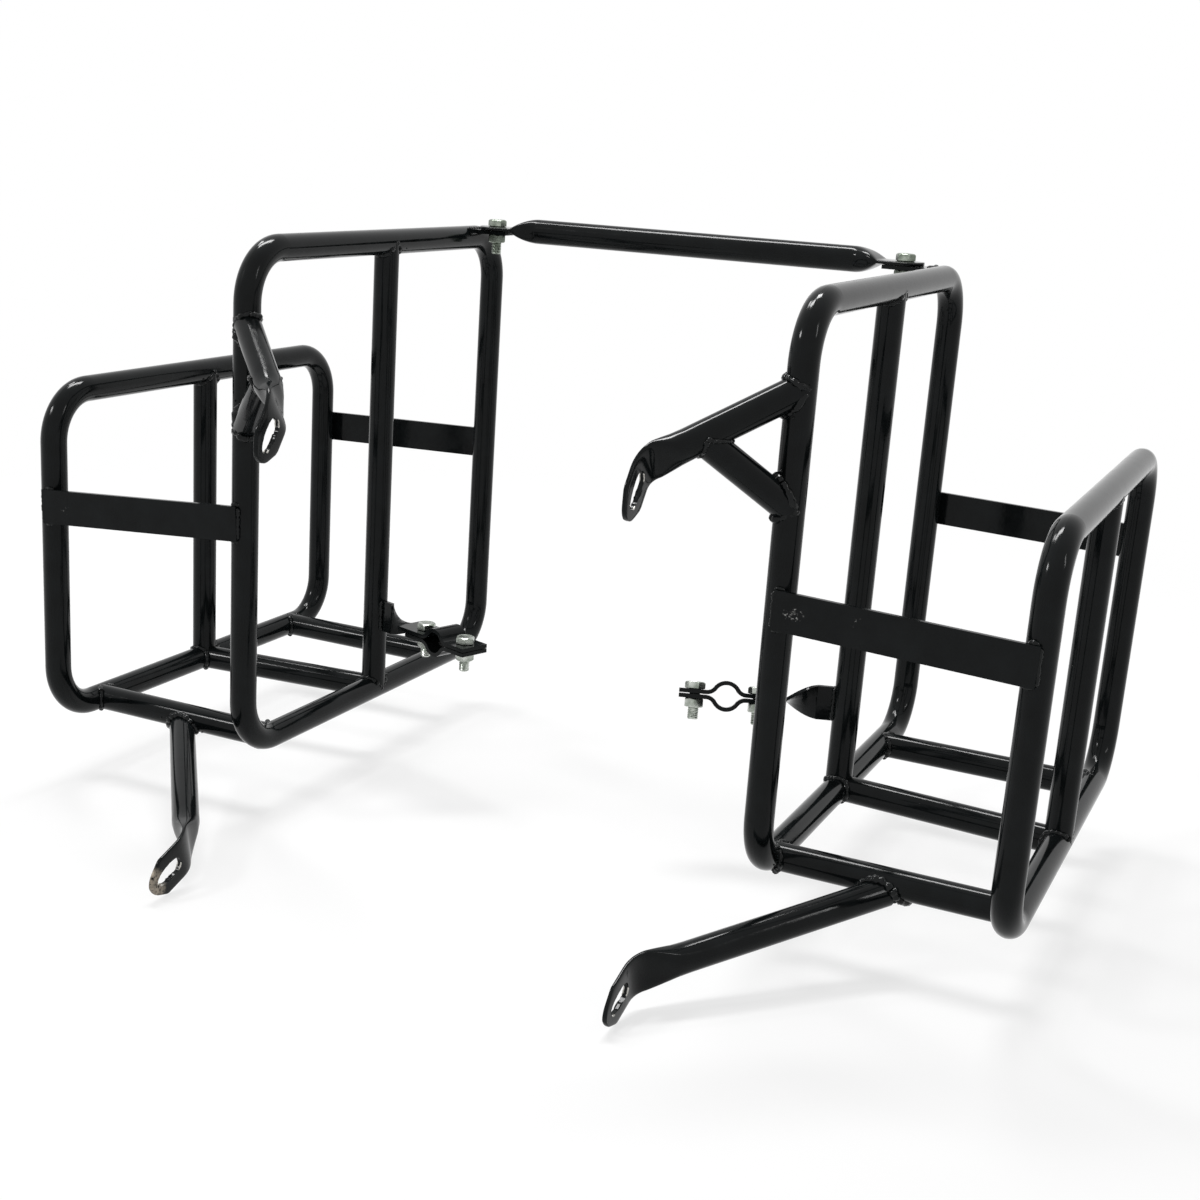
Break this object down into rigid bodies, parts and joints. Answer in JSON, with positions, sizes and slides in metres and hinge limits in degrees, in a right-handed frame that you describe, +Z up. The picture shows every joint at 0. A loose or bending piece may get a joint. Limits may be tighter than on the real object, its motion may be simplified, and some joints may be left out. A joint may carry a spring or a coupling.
{
  "type": "motorcycle pannier frame",
  "caption": "Black tubular steel pannier frame: mirrored side baskets on slotted stays and pipe clamps, joined by a bolted crossbar.",
  "frame": {"origin": "middle of the bounding box's footprint, at the height of the lowest point of the lower stays' tips", "axes": "+Z up, +Y towards the rear of the motorcycle, X across it with the two baskets at +X and -X"},
  "size_m": [0.731, 0.5152, 0.4321],
  "materials": {
    "black_paint": "gloss",
    "zinc": "satin"
  },
  "bodies": {
    "root": {"right_inner_loop": "black_paint", "right_outer_loop": "black_paint", "right_inner_upright": "black_paint", "right_outer_upright": "black_paint", "right_front_cross_tube": "black_paint", "right_middle_cross_tube": "black_paint", "right_rear_cross_tube": "black_paint", "right_front_strap": "black_paint", "right_rear_strap": "black_paint", "right_upper_stay": "black_paint", "right_upper_stay_brace": "black_paint", "right_lower_stay": "black_paint", "right_top_tab": "black_paint", "right_clamp_strip": "black_paint", "right_clamp_cap": "black_paint", "right_clamp_bolts": "zinc", "right_clamp_nuts": "zinc", "right_bar_bolt": "zinc", "right_bar_nut": "zinc", "left_inner_loop": "black_paint", "left_outer_loop": "black_paint", "left_inner_upright": "black_paint", "left_outer_upright": "black_paint", "left_front_cross_tube": "black_paint", "left_middle_cross_tube": "black_paint", "left_rear_cross_tube": "black_paint", "left_front_strap": "black_paint", "left_rear_strap": "black_paint", "left_upper_stay": "black_paint", "left_upper_stay_brace": "black_paint", "left_lower_stay": "black_paint", "left_top_tab": "black_paint", "left_clamp_strip": "black_paint", "left_clamp_cap": "black_paint", "left_clamp_bolts": "zinc", "left_clamp_nuts": "zinc", "left_bar_bolt": "zinc", "left_bar_nut": "zinc", "crossbar": "black_paint"}
  },
  "joints": []
}
